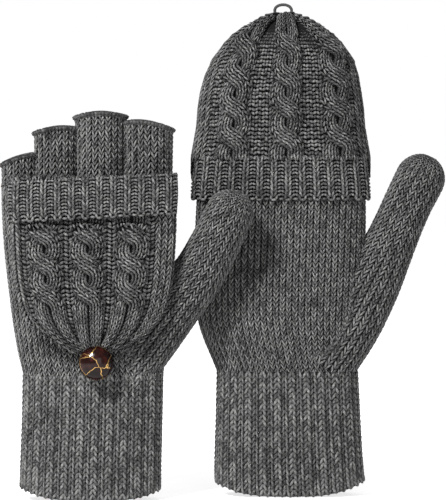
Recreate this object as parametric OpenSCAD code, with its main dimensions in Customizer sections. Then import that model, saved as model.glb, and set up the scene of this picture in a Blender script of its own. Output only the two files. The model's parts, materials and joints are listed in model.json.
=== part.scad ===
/* [Knit] */
// Thickness of the knitted walls
knit_thickness = 3; // [2.4:0.1:3.2]

/* [Cuff] */
// Height of the ribbed cuff
cuff_height = 66; // [50:1:85]
// Width of the cuff, across the wrist
cuff_width = 76; // [66:1:78]
// Depth of the cuff, from palm to back
cuff_depth = 32; // [30:1:36]

/* [Hand] */
// Width of the hand where it meets the cuff
wrist_width = 74; // [64:1:76]
// Width of the hand at the knuckles
palm_width = 89; // [80:1:96]
// Depth of the hand, from palm to back
palm_depth = 30; // [26:1:34]
// Height from the cuff to the finger crotch
palm_height = 104; // [92:1:120]
// Sideways shift of the knuckles from the wrist
palm_shift = -3; // [-6:0.5:0]

/* [Thumb] */
// Width of the thumb
thumb_width = 25; // [21:0.5:28]
// Depth of the thumb
thumb_depth = 23; // [20:0.5:26]
// Distance of the right thumb tip beyond the side of the palm
right_thumb_reach = 30.5; // [28:0.5:36]
// Height of the right thumb tip above the finger crotch
right_thumb_rise = 11; // [0:1:16]
// Distance of the left thumb tip beyond the side of the palm
left_thumb_reach = 33.5; // [31:0.5:38]
// Height of the left thumb tip above the finger crotch
left_thumb_rise = -4; // [-12:1:2]
// How far the left thumb leans forward at its tip
left_thumb_lean = 14; // [10:1:18]

/* [Fingers] */
// Height of the index stall
index_height = 30; // [15:1:36]
// Height of the middle stall
middle_height = 35; // [15:1:40]
// Height of the ring stall
ring_height = 27; // [12:1:32]
// Height of the little stall
little_height = 11; // [8:1:20]
// Squeeze of the stalls under the closed flap
closed_squeeze = 0.9; // [0.85:0.01:0.92]

/* [Flap] */
// Length of the flap from the knuckle seam to the crown, on the standard palm
flap_length = 85; // [80:1:95]
// Slack between the hand and the inside of the flap's mouth
flap_ease = 1; // [0.8:0.2:3]
// Depth of the flap when it is folded flat
flat_depth = 10; // [8:0.5:12]
// Height of the ribbed band, on the standard palm
rib_height = 21.5; // [14:0.5:24]
// Distance of the ribbed band above the knuckle seam when closed, on the standard palm
rib_rise = 12; // [8:1:16]
// Height of the turned fold above the knuckle seam when folded
fold_rise = 3; // [1:0.5:5]

/* [Loop] */
// Thickness of the loop cord
loop_cord = 1.3; // [1:0.1:1.6]
// Inside width of the loop
loop_opening = 7.8; // [7:0.2:10]

/* [Button] */
// Diameter of the button
button_diameter = 18; // [15:0.5:20]
// Height of the button dome
button_height = 6.5; // [5:0.5:8]
// Diameter of the button shank
shank_diameter = 5; // [4:0.5:6]
// Length of the button shank
shank_length = 9.5; // [9:0.5:11]

/* [Pair] */
// Distance between the middles of the two gloves
pair_spacing = 104; // [104:1:160]
// How far the right glove stands behind the left
pair_stagger = 22; // [21:1:40]

/* [Hidden] */
$fn = 64;

// Small gaps between pieces on different bodies
slip = 0.3;
touch_gap = 0.2;

// A longer, wider or deeper palm takes the flap, thumbs and button with it
standard_palm_width = 89;
standard_palm_height = 104;
standard_palm_depth = 30;
palm_stretch = palm_height / standard_palm_height;
flap_reach = flap_length * palm_stretch;
band_height = rib_height * palm_stretch;
band_rise = rib_rise * palm_stretch;
pair_step = pair_stagger * palm_depth / standard_palm_depth;
pair_span = pair_spacing * palm_width / standard_palm_width;

// Sides and rows of the soft shells
ring_sides = 30;
half_sides = 15;
hand_steps = [0, 0.08, 0.18, 0.3, 0.45, 0.6, 0.8, 1];
thumb_steps = [0, 0.13, 0.26, 0.4, 0.55, 0.7, 0.8, 0.88, 0.92, 0.95, 0.975, 0.992];
flap_rows = 12;

// Places along a glove
crotch_z = cuff_height + palm_height;
seam_drop = 2;
seam_z = crotch_z - seam_drop;
plate_thickness = 3;
half_palm = palm_depth / 2;
seam_thickness = 1.2;
seam_height = 3;
seam_share = 0.62;

// Flap depths, measured from the middle of the hand
flap_inner_y = half_palm + seam_thickness + slip;
flap_outer_y = flap_inner_y + knit_thickness;
fold_axis_y = flap_inner_y + knit_thickness / 2;
flat_middle_y = flap_inner_y + flat_depth / 2;

// Flap outline
flap_mouth_half = palm_width / 2 + flap_ease / 2 + knit_thickness;
flap_taper = 3.6;
round_start = 0.45;
round_overrun = 3;
round_power = 2.4;
puff_start = 0.59;
puff_overrun = 3.5;
folded_shift = 4;
flat_narrowing = 4.5;
crown_height = 4;
crown_inset = 2.2;

// Finger stall widths as shares of the palm width, from index to little
finger_shares = [0.278, 0.283, 0.243, 0.196];
finger_depth_share = 0.95;
finger_gap = 0.2;

// Button place on the back of the hand, just past the crown of the folded flap
button_drop = 5.3;
button_z = seam_z - flap_reach - crown_height - button_drop;
button_shift = 2.5;
thread_width = 0.9;
thread_length = 1.5;

// Loop legs: short on the free loop, long on the one round the button
free_leg = 0.9;
hooked_leg = 7;
hooked_loop_depth = 4.5;

// Thumb tips from the glove middle and above the cuff
right_reach = palm_width / 2 + right_thumb_reach;
right_rise = palm_height + right_thumb_rise * palm_stretch;
left_reach = palm_width / 2 + left_thumb_reach;
left_rise = palm_height + left_thumb_rise * palm_stretch;
thumb_root_x = 20 * palm_width / standard_palm_width;
thumb_root_rise = 14;
thumb_root_swell = 0.7;
thumb_root_puff = 0.22;
thumb_dome_start = 0.88;

knit_colour = "DimGray";
rib_colour = "SlateGray";
trim_colour = "Black";
button_colour = "Maroon";

function ease_out(s) = 1 - (1 - s) * (1 - s);
function hand_left(s) = -wrist_width / 2 + (palm_shift - palm_width / 2 + wrist_width / 2) * ease_out(s);
function hand_right(s) = wrist_width / 2 + (palm_shift + palm_width / 2 - wrist_width / 2) * s;

// A row of points round a stadium, flat at front and back
function stadium_row(middle_x, middle_y, z, half_w, half_d, from, to, count, first) = [
    for (i = [0 : count - 1])
        let (t = from + (to - from) * (i + first) / (count - 1 + 2 * first))
        [
            middle_x + sign(cos(t)) * max(0, half_w - half_d) + min(half_w, half_d) * cos(t),
            middle_y + half_d * sin(t),
            z
        ]
];

function hand_row(s, inset) = stadium_row(
    (hand_left(s) + hand_right(s)) / 2, 0, cuff_height + s * (palm_height - plate_thickness),
    (hand_right(s) - hand_left(s)) / 2 - inset, half_palm - inset, 0, 360, ring_sides, 0.5
);

// Flap outline at a height above the knuckle seam
function round_off(height, start, finish, power) =
    pow(1 - pow(max(0, min(1, (height - start) / (finish - start))), power), 0.5);
function flap_half(height, limit) =
    (flap_mouth_half - (limit < flap_outer_y ? flat_narrowing : 0)
        - flap_taper * min(1, max(0, height / (flap_reach * round_start))))
    * round_off(height, flap_reach * round_start, flap_reach + round_overrun, round_power);
function flap_half_depth(height, limit) =
    min(limit, flap_outer_y * round_off(height, flap_reach * puff_start, flap_reach + puff_overrun, 2));
function flap_row(height, limit, middle_x, middle_y, inset, from) = stadium_row(
    middle_x, middle_y, seam_z + height, flap_half(height, limit) - inset,
    flap_half_depth(height, limit) - inset, from, from + 180, half_sides + 1, 0
);
function flap_heights(start) = [
    for (i = [0 : flap_rows])
        let (u = i / flap_rows)
        start + (flap_reach - start) * (1 - pow(1 - u, 1.6))
];

// Thumb path from inside the hand to the tip, and its rows
function thumb_point(s, reach, rise, lean) = [
    (1 - s) * (1 - s) * thumb_root_x + 2 * s * (1 - s) * (thumb_root_x + reach) / 2 + s * s * reach
        + s * (1 - s) * 2,
    -lean * s * s,
    cuff_height + (1 - s) * thumb_root_rise + s * rise + s * (1 - s) * 6
];
function unit(v) = v / norm(v);
function thumb_frame(s, reach, rise, lean) =
    let (
        along = unit(thumb_point(s + 0.01, reach, rise, lean) - thumb_point(s - 0.01, reach, rise, lean)),
        across = unit(cross([0, 1, 0], along))
    )
    [across, cross(along, across)];
function thumb_dome(s) = sqrt(1 - pow(max(0, (s - thumb_dome_start) / (1 - thumb_dome_start)), 2));
function thumb_swell(s, share) = 1 + share * pow(1 - s, 2);
function thumb_row(s, reach, rise, lean, inset, stop) =
    let (
        middle = thumb_point(s * stop, reach, rise, lean),
        sides = thumb_frame(s * stop, reach, rise, lean),
        half_w = (thumb_width / 2 * thumb_swell(s, thumb_root_swell) - inset) * thumb_dome(s),
        half_d = (thumb_depth / 2 * thumb_swell(s, thumb_root_puff) - inset) * thumb_dome(s)
    )
    [
        for (i = [0 : ring_sides - 1])
            let (t = 360 * (i + 0.5) / ring_sides)
            middle + sides[0] * half_w * cos(t) + sides[1] * half_d * sin(t)
    ];

function flat_list(rows) = [for (row = rows) for (point = row) point];

// Faces between neighbouring rows of a grid, turned outward or inward
function grid_faces(rows, cols, wrap, start, outward) = [
    for (r = [0 : rows - 2])
        for (c = [0 : wrap ? cols - 1 : cols - 2])
            let (
                a = start + r * cols + c,
                b = start + r * cols + (c + 1) % cols,
                d = a + cols,
                e = b + cols
            )
            for (face = outward ? [[a, d, e], [a, e, b]] : [[a, b, e], [a, e, d]]) face
];
function rim_faces(row, rows, cols, wrap, top) = [
    for (c = [0 : wrap ? cols - 1 : cols - 2])
        let (
            a = row * cols + c,
            b = row * cols + (c + 1) % cols,
            p = a + rows * cols,
            q = b + rows * cols
        )
        for (face = top ? [[b, a, p], [b, p, q]] : [[a, b, q], [a, q, p]]) face
];
function side_faces(col, rows, cols, last) = [
    for (r = [0 : rows - 2])
        let (
            a = r * cols + col,
            d = a + cols,
            p = a + rows * cols,
            s = d + rows * cols
        )
        for (face = last ? [[a, d, s], [a, s, p]] : [[d, a, p], [d, p, s]]) face
];

// A thick sheet between two grids of points
module thick_sheet(outer, inner, wrap) {
    rows = len(outer);
    cols = len(outer[0]);
    polyhedron(
        points = concat(flat_list(outer), flat_list(inner)),
        faces = concat(
            grid_faces(rows, cols, wrap, 0, true),
            grid_faces(rows, cols, wrap, rows * cols, false),
            rim_faces(0, rows, cols, wrap, false),
            rim_faces(rows - 1, rows, cols, wrap, true),
            wrap ? [] : side_faces(0, rows, cols, false),
            wrap ? [] : side_faces(cols - 1, rows, cols, true)
        )
    );
}

// A thick tube open at its foot, with its tip closed to a point inside and out
module closed_tube(outer, inner, outer_tip, inner_tip) {
    rows = len(outer);
    cols = len(outer[0]);
    count = rows * cols;
    last = count - cols;
    polyhedron(
        points = concat(flat_list(outer), flat_list(inner), [outer_tip, inner_tip]),
        faces = concat(
            grid_faces(rows, cols, true, 0, true),
            grid_faces(rows, cols, true, count, false),
            rim_faces(0, rows, cols, true, false),
            [for (c = [0 : cols - 1]) [last + (c + 1) % cols, last + c, 2 * count]],
            [for (c = [0 : cols - 1]) [count + last + c, count + last + (c + 1) % cols, 2 * count + 1]]
        )
    );
}

// A solid through closed rows, capped to a point at each end
module solid_through(rings, foot, tip) {
    rows = len(rings);
    cols = len(rings[0]);
    count = rows * cols;
    polyhedron(
        points = concat(flat_list(rings), [foot, tip]),
        faces = concat(
            grid_faces(rows, cols, true, 0, true),
            [for (c = [0 : cols - 1]) [c, (c + 1) % cols, count]],
            [for (c = [0 : cols - 1]) [count - cols + (c + 1) % cols, count - cols + c, count + 1]]
        )
    );
}

module stadium(width, depth) {
    radius = min(width, depth) / 2;
    reach = width / 2 - radius;
    square([2 * reach, 2 * radius], center = true);
    translate([reach, 0]) circle(radius);
    translate([-reach, 0]) circle(radius);
}

module stadium_tube(width, depth, height, wall) {
    linear_extrude(height) difference() {
        stadium(width, depth);
        stadium(width - 2 * wall, depth - 2 * wall);
    }
}

module cuff() {
    color(rib_colour) stadium_tube(cuff_width, cuff_depth, cuff_height, knit_thickness);
}

module hand_solid() {
    rings = [for (s = hand_steps) hand_row(s, 0)];
    solid_through(rings, [0, 0, cuff_height], [palm_shift, 0, crotch_z - plate_thickness]);
}

function finger_left(index, squeeze) =
    palm_shift + squeeze * palm_width
    * (0.5 - (index == 0 ? 0 : index == 1 ? finger_shares[0] : index == 2 ? finger_shares[0]
    + finger_shares[1] : finger_shares[0] + finger_shares[1] + finger_shares[2])
    - finger_shares[index] / 2);
function finger_width(index, squeeze) = squeeze * palm_width * finger_shares[index] - finger_gap;

module finger_place(index, squeeze) {
    translate([finger_left(index, squeeze), 0, crotch_z]) children();
}

module finger(index, height, squeeze) {
    width = finger_width(index, squeeze);
    color(knit_colour) finger_place(index, squeeze)
        stadium_tube(width, width * finger_depth_share, height, knit_thickness);
}

function thumb_stop(rise) = 1 - knit_thickness / (rise - thumb_root_rise);
function thumb_rows(reach, rise, lean, inset, stop) =
    [for (s = thumb_steps) thumb_row(s, reach, rise, lean, inset, stop)];

module thumb_hollow(reach, rise, lean) {
    stop = thumb_stop(rise);
    solid_through(
        thumb_rows(reach, rise, lean, knit_thickness, stop),
        thumb_point(0, reach, rise, lean), thumb_point(stop, reach, rise, lean)
    );
}

module hand(reach, rise, lean) {
    outer = [for (s = hand_steps) hand_row(s, 0)];
    inner = [for (s = hand_steps) hand_row(s, knit_thickness)];
    color(knit_colour) difference() {
        thick_sheet(outer, inner, true);
        thumb_hollow(reach, rise, lean);
    }
}

// The web between the fingers, with an opening under each stall
module finger_web(squeeze) {
    color(trim_colour) translate([palm_shift, 0, crotch_z - plate_thickness])
        linear_extrude(plate_thickness) difference() {
            stadium(palm_width, palm_depth);
            for (index = [0 : 3]) {
                width = finger_width(index, squeeze) - 2 * knit_thickness;
                depth = finger_width(index, squeeze) * finger_depth_share - 2 * knit_thickness;
                translate([finger_left(index, squeeze) - palm_shift, 0]) stadium(width, depth);
            }
        }
}

module thumb(reach, rise, lean) {
    stop = thumb_stop(rise);
    color(knit_colour) difference() {
        closed_tube(
            thumb_rows(reach, rise, lean, 0, 1), thumb_rows(reach, rise, lean, knit_thickness, stop),
            thumb_point(1, reach, rise, lean), thumb_point(stop, reach, rise, lean)
        );
        hand_solid();
    }
}

module knuckle_seam() {
    width = seam_share * palm_width;
    color(trim_colour) translate([palm_shift - width / 2, -half_palm - seam_thickness, seam_z - seam_height])
        cube([width, seam_thickness, seam_height]);
}

// One half of the flap: the back half from 180 degrees, the front half from 0
module flap_half_shell(start, limit, middle_x, middle_y, from) {
    outer = [for (h = flap_heights(start)) flap_row(h, limit, middle_x, middle_y, 0, from)];
    inner = [for (h = flap_heights(start)) flap_row(h, limit, middle_x, middle_y, knit_thickness, from)];
    thick_sheet(outer, inner, false);
}

module flap_back(limit, middle_x, middle_y) {
    color(knit_colour) translate([0, -touch_gap / 2, 0])
        flap_half_shell(touch_gap, limit, middle_x, middle_y + touch_gap / 2, 180);
}

module flap_front(start, limit, middle_x, middle_y) {
    color(knit_colour) flap_half_shell(start, limit, middle_x, middle_y + touch_gap / 2, 0);
}

module flap_rib(bottom, middle_x, middle_y, half_width, half_depth) {
    reach = 2 * half_width;
    color(rib_colour) translate([middle_x, middle_y, bottom]) intersection() {
        stadium_tube(2 * half_width, 2 * half_depth, band_height, knit_thickness);
        translate([-reach / 2, touch_gap / 2, 0]) cube([reach, half_depth, band_height]);
    }
}

module crown_tie(limit, middle_x, middle_y) {
    width = 2 * (flap_half(flap_reach, limit) - crown_inset);
    depth = 2 * (flap_half_depth(flap_reach, limit) - crown_inset);
    color(trim_colour) translate([middle_x, middle_y, seam_z + flap_reach])
        linear_extrude(crown_height) stadium(width, depth);
}

module loop(leg, middle_x, middle_y) {
    radius = (loop_opening + loop_cord) / 2;
    foot_z = seam_z + flap_reach + crown_height;
    color(trim_colour) translate([middle_x, middle_y, foot_z]) {
        translate([radius, 0, 0]) cylinder(h = leg, r = loop_cord / 2);
        translate([-radius, 0, 0]) cylinder(h = leg, r = loop_cord / 2);
        translate([0, 0, leg]) rotate([90, 0, 0]) rotate_extrude(angle = 180)
            translate([radius, 0]) circle(loop_cord / 2);
    }
}

module on_button() {
    translate([button_shift, -half_palm, button_z]) rotate([90, 0, 0]) children();
}

module button_dome() {
    radius = button_diameter / 2;
    ball = (radius * radius + button_height * button_height) / (2 * button_height);
    color(button_colour) on_button() translate([0, 0, shank_length]) rotate_extrude() intersection() {
        translate([0, button_height - ball]) circle(ball);
        square([radius, button_height]);
    }
}

module button_shank() {
    color(button_colour) on_button() cylinder(h = shank_length, d = shank_diameter);
}

module button_thread() {
    inner = shank_diameter / 2 + slip;
    color(trim_colour) on_button() difference() {
        cylinder(h = thread_length, r = inner + thread_width);
        translate([0, 0, -1]) cylinder(h = thread_length + 2, r = inner);
    }
}

// The left glove shows its back, the right glove its palm
module left_place() {
    translate([-pair_span / 2 - pair_middle_x, -pair_step / 2 - pair_middle_y, 0]) children();
}

module right_place() {
    translate([pair_span / 2 - pair_middle_x, pair_step / 2 - pair_middle_y, 0])
        mirror([0, 1, 0]) children();
}

// Turns a closed flap down over the back of the hand
module folded() {
    translate([0, -fold_axis_y, seam_z]) rotate([180, 0, 0]) translate([0, fold_axis_y, -seam_z])
        children();
}

// The turned band lies over the mouth of the flat flap
flat_limit = flat_depth / 2;
turned_half = flap_mouth_half - flat_narrowing + knit_thickness + slip;
turned_depth = flat_limit + knit_thickness + slip;

// Middle of the pair, between its outermost points
pair_left = palm_shift - palm_width / 2 - pair_span / 2;
pair_right = pair_span / 2 + max([
    for (s = thumb_steps) for (point = thumb_row(s, right_reach, right_rise, 0, 0, 1)) point[0]
]);
button_reach = half_palm + shank_length + button_height;
pair_front = -pair_step / 2 - max(button_reach, flat_middle_y + turned_depth);
pair_back = pair_step / 2 + max(button_reach, flap_outer_y);
pair_middle_x = (pair_left + pair_right) / 2;
pair_middle_y = (pair_front + pair_back) / 2;

flat_x = palm_shift + folded_shift;
flat_y = flat_middle_y - 2 * fold_axis_y;
module left_rib_shape() {
    flap_rib(seam_z - fold_rise, flat_x, flat_y, turned_half, turned_depth);
}

left_place() cuff();  // left_cuff
left_place() hand(left_reach, left_rise, left_thumb_lean);  // left_hand
left_place() thumb(left_reach, left_rise, left_thumb_lean);  // left_thumb
left_place() finger_web(1);  // left_finger_web
left_place() finger(0, index_height, 1);  // left_index_finger
left_place() finger(1, middle_height, 1);  // left_middle_finger
left_place() finger(2, ring_height, 1);  // left_ring_finger
left_place() finger(3, little_height, 1);  // left_little_finger
left_place() knuckle_seam();  // left_knuckle_seam
left_place() folded() flap_back(flat_limit, flat_x, flat_y);  // left_flap_back
left_place() folded() flap_front(-fold_rise, flat_limit, flat_x, flat_y);  // left_flap_front
left_place() folded() left_rib_shape();  // left_flap_rib
left_place() folded() crown_tie(flat_limit, flat_x, flat_y);  // left_crown_tie
left_place() folded() loop(hooked_leg, button_shift, flat_y);  // left_loop
left_place() button_dome();  // left_button_dome
left_place() button_shank();  // left_button_shank
left_place() button_thread();  // left_button_thread

right_place() cuff();  // right_cuff
right_place() hand(right_reach, right_rise, 0);  // right_hand
right_place() thumb(right_reach, right_rise, 0);  // right_thumb
right_place() finger_web(closed_squeeze);  // right_finger_web
right_place() finger(0, index_height, closed_squeeze);  // right_index_finger
right_place() finger(1, middle_height, closed_squeeze);  // right_middle_finger
right_place() finger(2, ring_height, closed_squeeze);  // right_ring_finger
right_place() finger(3, little_height, closed_squeeze);  // right_little_finger
right_place() knuckle_seam();  // right_knuckle_seam
right_place() flap_back(flap_outer_y, palm_shift, 0);  // right_flap_back
right_place() flap_front(band_rise, flap_outer_y, palm_shift, 0);  // right_flap_front
right_place() flap_rib(seam_z + band_rise - band_height - touch_gap, palm_shift, 0, flap_mouth_half,  // right_flap_rib
        flap_outer_y);
right_place() crown_tie(flap_outer_y, palm_shift, 0);  // right_crown_tie
right_place() loop(free_leg, palm_shift, 0);  // right_loop
right_place() button_dome();  // right_button_dome
right_place() button_shank();  // right_button_shank
right_place() button_thread();  // right_button_thread
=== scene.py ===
import bpy
import json
import math
import numpy as np
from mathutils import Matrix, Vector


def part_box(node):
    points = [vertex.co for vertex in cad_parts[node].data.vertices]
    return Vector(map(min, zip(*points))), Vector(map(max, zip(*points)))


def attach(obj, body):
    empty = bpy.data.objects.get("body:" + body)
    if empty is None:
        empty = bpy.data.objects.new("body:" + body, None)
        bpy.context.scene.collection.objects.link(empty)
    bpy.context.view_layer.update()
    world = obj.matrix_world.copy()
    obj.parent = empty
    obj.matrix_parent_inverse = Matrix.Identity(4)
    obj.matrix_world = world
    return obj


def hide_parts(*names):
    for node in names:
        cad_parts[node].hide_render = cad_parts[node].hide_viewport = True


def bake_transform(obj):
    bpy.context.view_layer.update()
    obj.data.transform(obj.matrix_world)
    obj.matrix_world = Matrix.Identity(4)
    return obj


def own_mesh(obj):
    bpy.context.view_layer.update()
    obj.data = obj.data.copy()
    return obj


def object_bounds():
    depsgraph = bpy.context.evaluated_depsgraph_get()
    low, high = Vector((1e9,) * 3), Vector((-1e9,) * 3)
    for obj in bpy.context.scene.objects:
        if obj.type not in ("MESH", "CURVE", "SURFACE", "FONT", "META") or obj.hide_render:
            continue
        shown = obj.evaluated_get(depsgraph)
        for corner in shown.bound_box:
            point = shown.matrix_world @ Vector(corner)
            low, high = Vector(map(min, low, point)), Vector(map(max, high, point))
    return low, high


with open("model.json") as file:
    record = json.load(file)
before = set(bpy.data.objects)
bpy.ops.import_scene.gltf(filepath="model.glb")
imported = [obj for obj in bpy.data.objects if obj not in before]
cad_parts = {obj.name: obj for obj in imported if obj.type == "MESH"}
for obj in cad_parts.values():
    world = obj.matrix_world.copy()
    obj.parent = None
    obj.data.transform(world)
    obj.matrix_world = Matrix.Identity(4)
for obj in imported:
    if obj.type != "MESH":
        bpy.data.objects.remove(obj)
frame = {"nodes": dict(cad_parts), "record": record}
cadBox = [list(corner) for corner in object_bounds()]
print("frame loaded", len(frame["nodes"]), "nodes")

jointList = {joint["name"]: joint for joint in frame["record"]["behaviour"]["joints"]}
shade = {}


# Knit yarn, ground and trim finishes

def newMaterial(name):
    material = bpy.data.materials.new(name)
    material.use_nodes = True
    nodes = material.node_tree.nodes
    nodes.clear()
    output = nodes.new("ShaderNodeOutputMaterial")
    skin = nodes.new("ShaderNodeBsdfPrincipled")
    material.node_tree.links.new(skin.outputs["BSDF"], output.inputs["Surface"])
    return material, nodes, material.node_tree.links, skin


def mathNode(nodes, links, operation, first, second=None):
    node = nodes.new("ShaderNodeMath")
    node.operation = operation
    for place, value in enumerate((first, second)):
        if value is None:
            continue
        if isinstance(value, (int, float)):
            node.inputs[place].default_value = value
        else:
            links.new(value, node.inputs[place])
    return node.outputs[0]


def noiseNode(nodes, links, vector, scale, detail=2.0, roughness=0.5):
    node = nodes.new("ShaderNodeTexNoise")
    node.inputs["Scale"].default_value = scale
    node.inputs["Detail"].default_value = detail
    node.inputs["Roughness"].default_value = roughness
    links.new(vector, node.inputs["Vector"])
    return node.outputs["Fac"]


def rampNode(nodes, links, value, stops):
    node = nodes.new("ShaderNodeValToRGB")
    node.color_ramp.elements[0].position = stops[0][0]
    node.color_ramp.elements[0].color = stops[0][1]
    node.color_ramp.elements[1].position = stops[-1][0]
    node.color_ramp.elements[1].color = stops[-1][1]
    for position, colour in stops[1:-1]:
        node.color_ramp.elements.new(position).color = colour
    links.new(value, node.inputs["Fac"])
    return node.outputs["Color"]


def bumpNode(nodes, links, skin, height, strength, distance):
    node = nodes.new("ShaderNodeBump")
    node.inputs["Strength"].default_value = strength
    node.inputs["Distance"].default_value = distance
    links.new(height, node.inputs["Height"])
    links.new(node.outputs["Normal"], skin.inputs["Normal"])


def grey(value, warm=0.0):
    return (value * (1 + warm), value, value * (1 - warm), 1)


# Noise scales, and the shares that make up the colour of the yarn
yarnStyle = {
    "fleck": 900,
    "cloud": 60,
    "fuzz": 3200,
    "turns": (2.6, 2.0),
    "shares": {"tone": 0.27, "fleck": 0.61, "cloud": 0.16, "ply": 0.05},
    # crown: the ranges that turn a loop's crown into painted shade at its sides and a painted highlight on
    # its top
    "crown": (0.2, 0.8, 0.03, 1.3),
}


# Heathered yarn: the tone of each loop, light and dark fibres and the turn of the two plies, with painted
# shade and painted highlight from each loop's crown
def yarnMaterial(name, level, contrast):
    material, nodes, links, skin = newMaterial(name)
    place = nodes.new("ShaderNodeTexCoord").outputs["Object"]
    tone = nodes.new("ShaderNodeAttribute")
    tone.attribute_name = "tone"
    strand = nodes.new("ShaderNodeUVMap")
    strand.uv_map = "strand"
    parts = nodes.new("ShaderNodeSeparateXYZ")
    links.new(strand.outputs["UV"], parts.inputs["Vector"])
    scaled = [mathNode(nodes, links, "MULTIPLY", parts.outputs[axis], turns)
              for axis, turns in zip("XY", yarnStyle["turns"])]
    turn = mathNode(nodes, links, "ADD", scaled[0], scaled[1])
    ply = mathNode(nodes, links, "SINE", mathNode(nodes, links, "MULTIPLY", turn, 2 * math.pi))
    sources = {
        "tone": tone.outputs["Fac"],
        "fleck": noiseNode(nodes, links, place, yarnStyle["fleck"], 3, 0.75),
        "cloud": noiseNode(nodes, links, place, yarnStyle["cloud"], 2, 0.5),
        "ply": ply,
    }
    mixed = None
    for part, share in yarnStyle["shares"].items():
        portion = mathNode(nodes, links, "MULTIPLY", sources[part], share)
        mixed = portion if mixed is None else mathNode(nodes, links, "ADD", mixed, portion)
    colour = rampNode(nodes, links, mixed, [
        (0.32, grey(level * (1 - contrast))), (0.5, grey(level, 0.01)),
        (0.68, grey(level * (1 + contrast), 0.012)), (0.88, grey(level * (1 + 2.6 * contrast), 0.015))])
    # Painted shade and painted highlight: the colour is scaled by each loop's crown, from 0.03 at its sides
    # and underside to 1.3 on its top
    crown = nodes.new("ShaderNodeAttribute")
    crown.attribute_name = "crown"
    lit = nodes.new("ShaderNodeMapRange")
    for socket, value in zip(("From Min", "From Max", "To Min", "To Max"), yarnStyle["crown"]):
        lit.inputs[socket].default_value = value
    links.new(crown.outputs["Fac"], lit.inputs["Value"])
    shaded = nodes.new("ShaderNodeVectorMath")
    shaded.operation = "SCALE"
    links.new(colour, shaded.inputs[0])
    links.new(lit.outputs["Result"], shaded.inputs["Scale"])
    links.new(shaded.outputs["Vector"], skin.inputs["Base Color"])
    height = mathNode(nodes, links, "ADD", mathNode(nodes, links, "MULTIPLY", ply, 0.5),
                      mathNode(nodes, links, "MULTIPLY",
                               noiseNode(nodes, links, place, yarnStyle["fuzz"], 2, 0.6), 1.1))
    bumpNode(nodes, links, skin, height, 0.55, 0.00022)
    skin.inputs["Roughness"].default_value = 0.82
    skin.inputs["Specular IOR Level"].default_value = 0.3
    skin.inputs["Sheen Weight"].default_value = 0.12
    skin.inputs["Sheen Roughness"].default_value = 0.45
    return material


# The ground seen between the loops, darkened to about a tenth of the yarn as painted shade in the gaps
def groundShadeMaterial(name, level):
    material, nodes, links, skin = newMaterial(name)
    place = nodes.new("ShaderNodeTexCoord").outputs["Object"]
    fleck = noiseNode(nodes, links, place, 900, 4, 0.7)
    colour = rampNode(nodes, links, fleck, [(0.3, grey(level * 0.5)), (0.75, grey(level * 1.5))])
    links.new(colour, skin.inputs["Base Color"])
    bumpNode(nodes, links, skin, fleck, 0.8, 0.0005)
    skin.inputs["Roughness"].default_value = 0.95
    skin.inputs["Specular IOR Level"].default_value = 0.1
    return material


# The inside of the knit: level rows of small bumps, with painted shade in the grooves between them
def liningMaterial(name, level):
    material, nodes, links, skin = newMaterial(name)
    place = nodes.new("ShaderNodeTexCoord").outputs["Object"]
    parts = nodes.new("ShaderNodeSeparateXYZ")
    links.new(place, parts.inputs["Vector"])
    wale, course = 0.0034, 0.0023
    sway = mathNode(nodes, links, "SINE",
                    mathNode(nodes, links, "MULTIPLY", parts.outputs["X"], 2 * math.pi / wale))
    rising = mathNode(nodes, links, "MULTIPLY", parts.outputs["Z"], math.pi / course)
    row = mathNode(nodes, links, "ADD", rising, mathNode(nodes, links, "MULTIPLY", sway, 0.7))
    bead = mathNode(nodes, links, "ABSOLUTE", mathNode(nodes, links, "SINE", row))
    fleck = noiseNode(nodes, links, place, 900, 3, 0.75)
    mixed = mathNode(nodes, links, "ADD", mathNode(nodes, links, "MULTIPLY", bead, 0.5),
                     mathNode(nodes, links, "MULTIPLY", fleck, 0.5))
    # Painted shade: the colour falls darker where the rows of bumps dip
    colour = rampNode(nodes, links, mixed, [(0.2, grey(level * 0.15)), (0.55, grey(level, 0.01)),
                                            (0.85, grey(level * 1.7, 0.01))])
    links.new(colour, skin.inputs["Base Color"])
    bumpNode(nodes, links, skin, bead, 0.8, 0.0007)
    skin.inputs["Roughness"].default_value = 0.88
    skin.inputs["Specular IOR Level"].default_value = 0.2
    return material


shade["yarn"] = yarnMaterial("heatherYarn", 0.064, 0.92)
# The ground's level is painted shade: the gaps between the loops, about a tenth as bright as the yarn
shade["ground"] = groundShadeMaterial("knitGroundShade", 0.006)
shade["lining"] = liningMaterial("knitLiningGrooveShade", 0.05)


# Stitches on a surface

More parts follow.
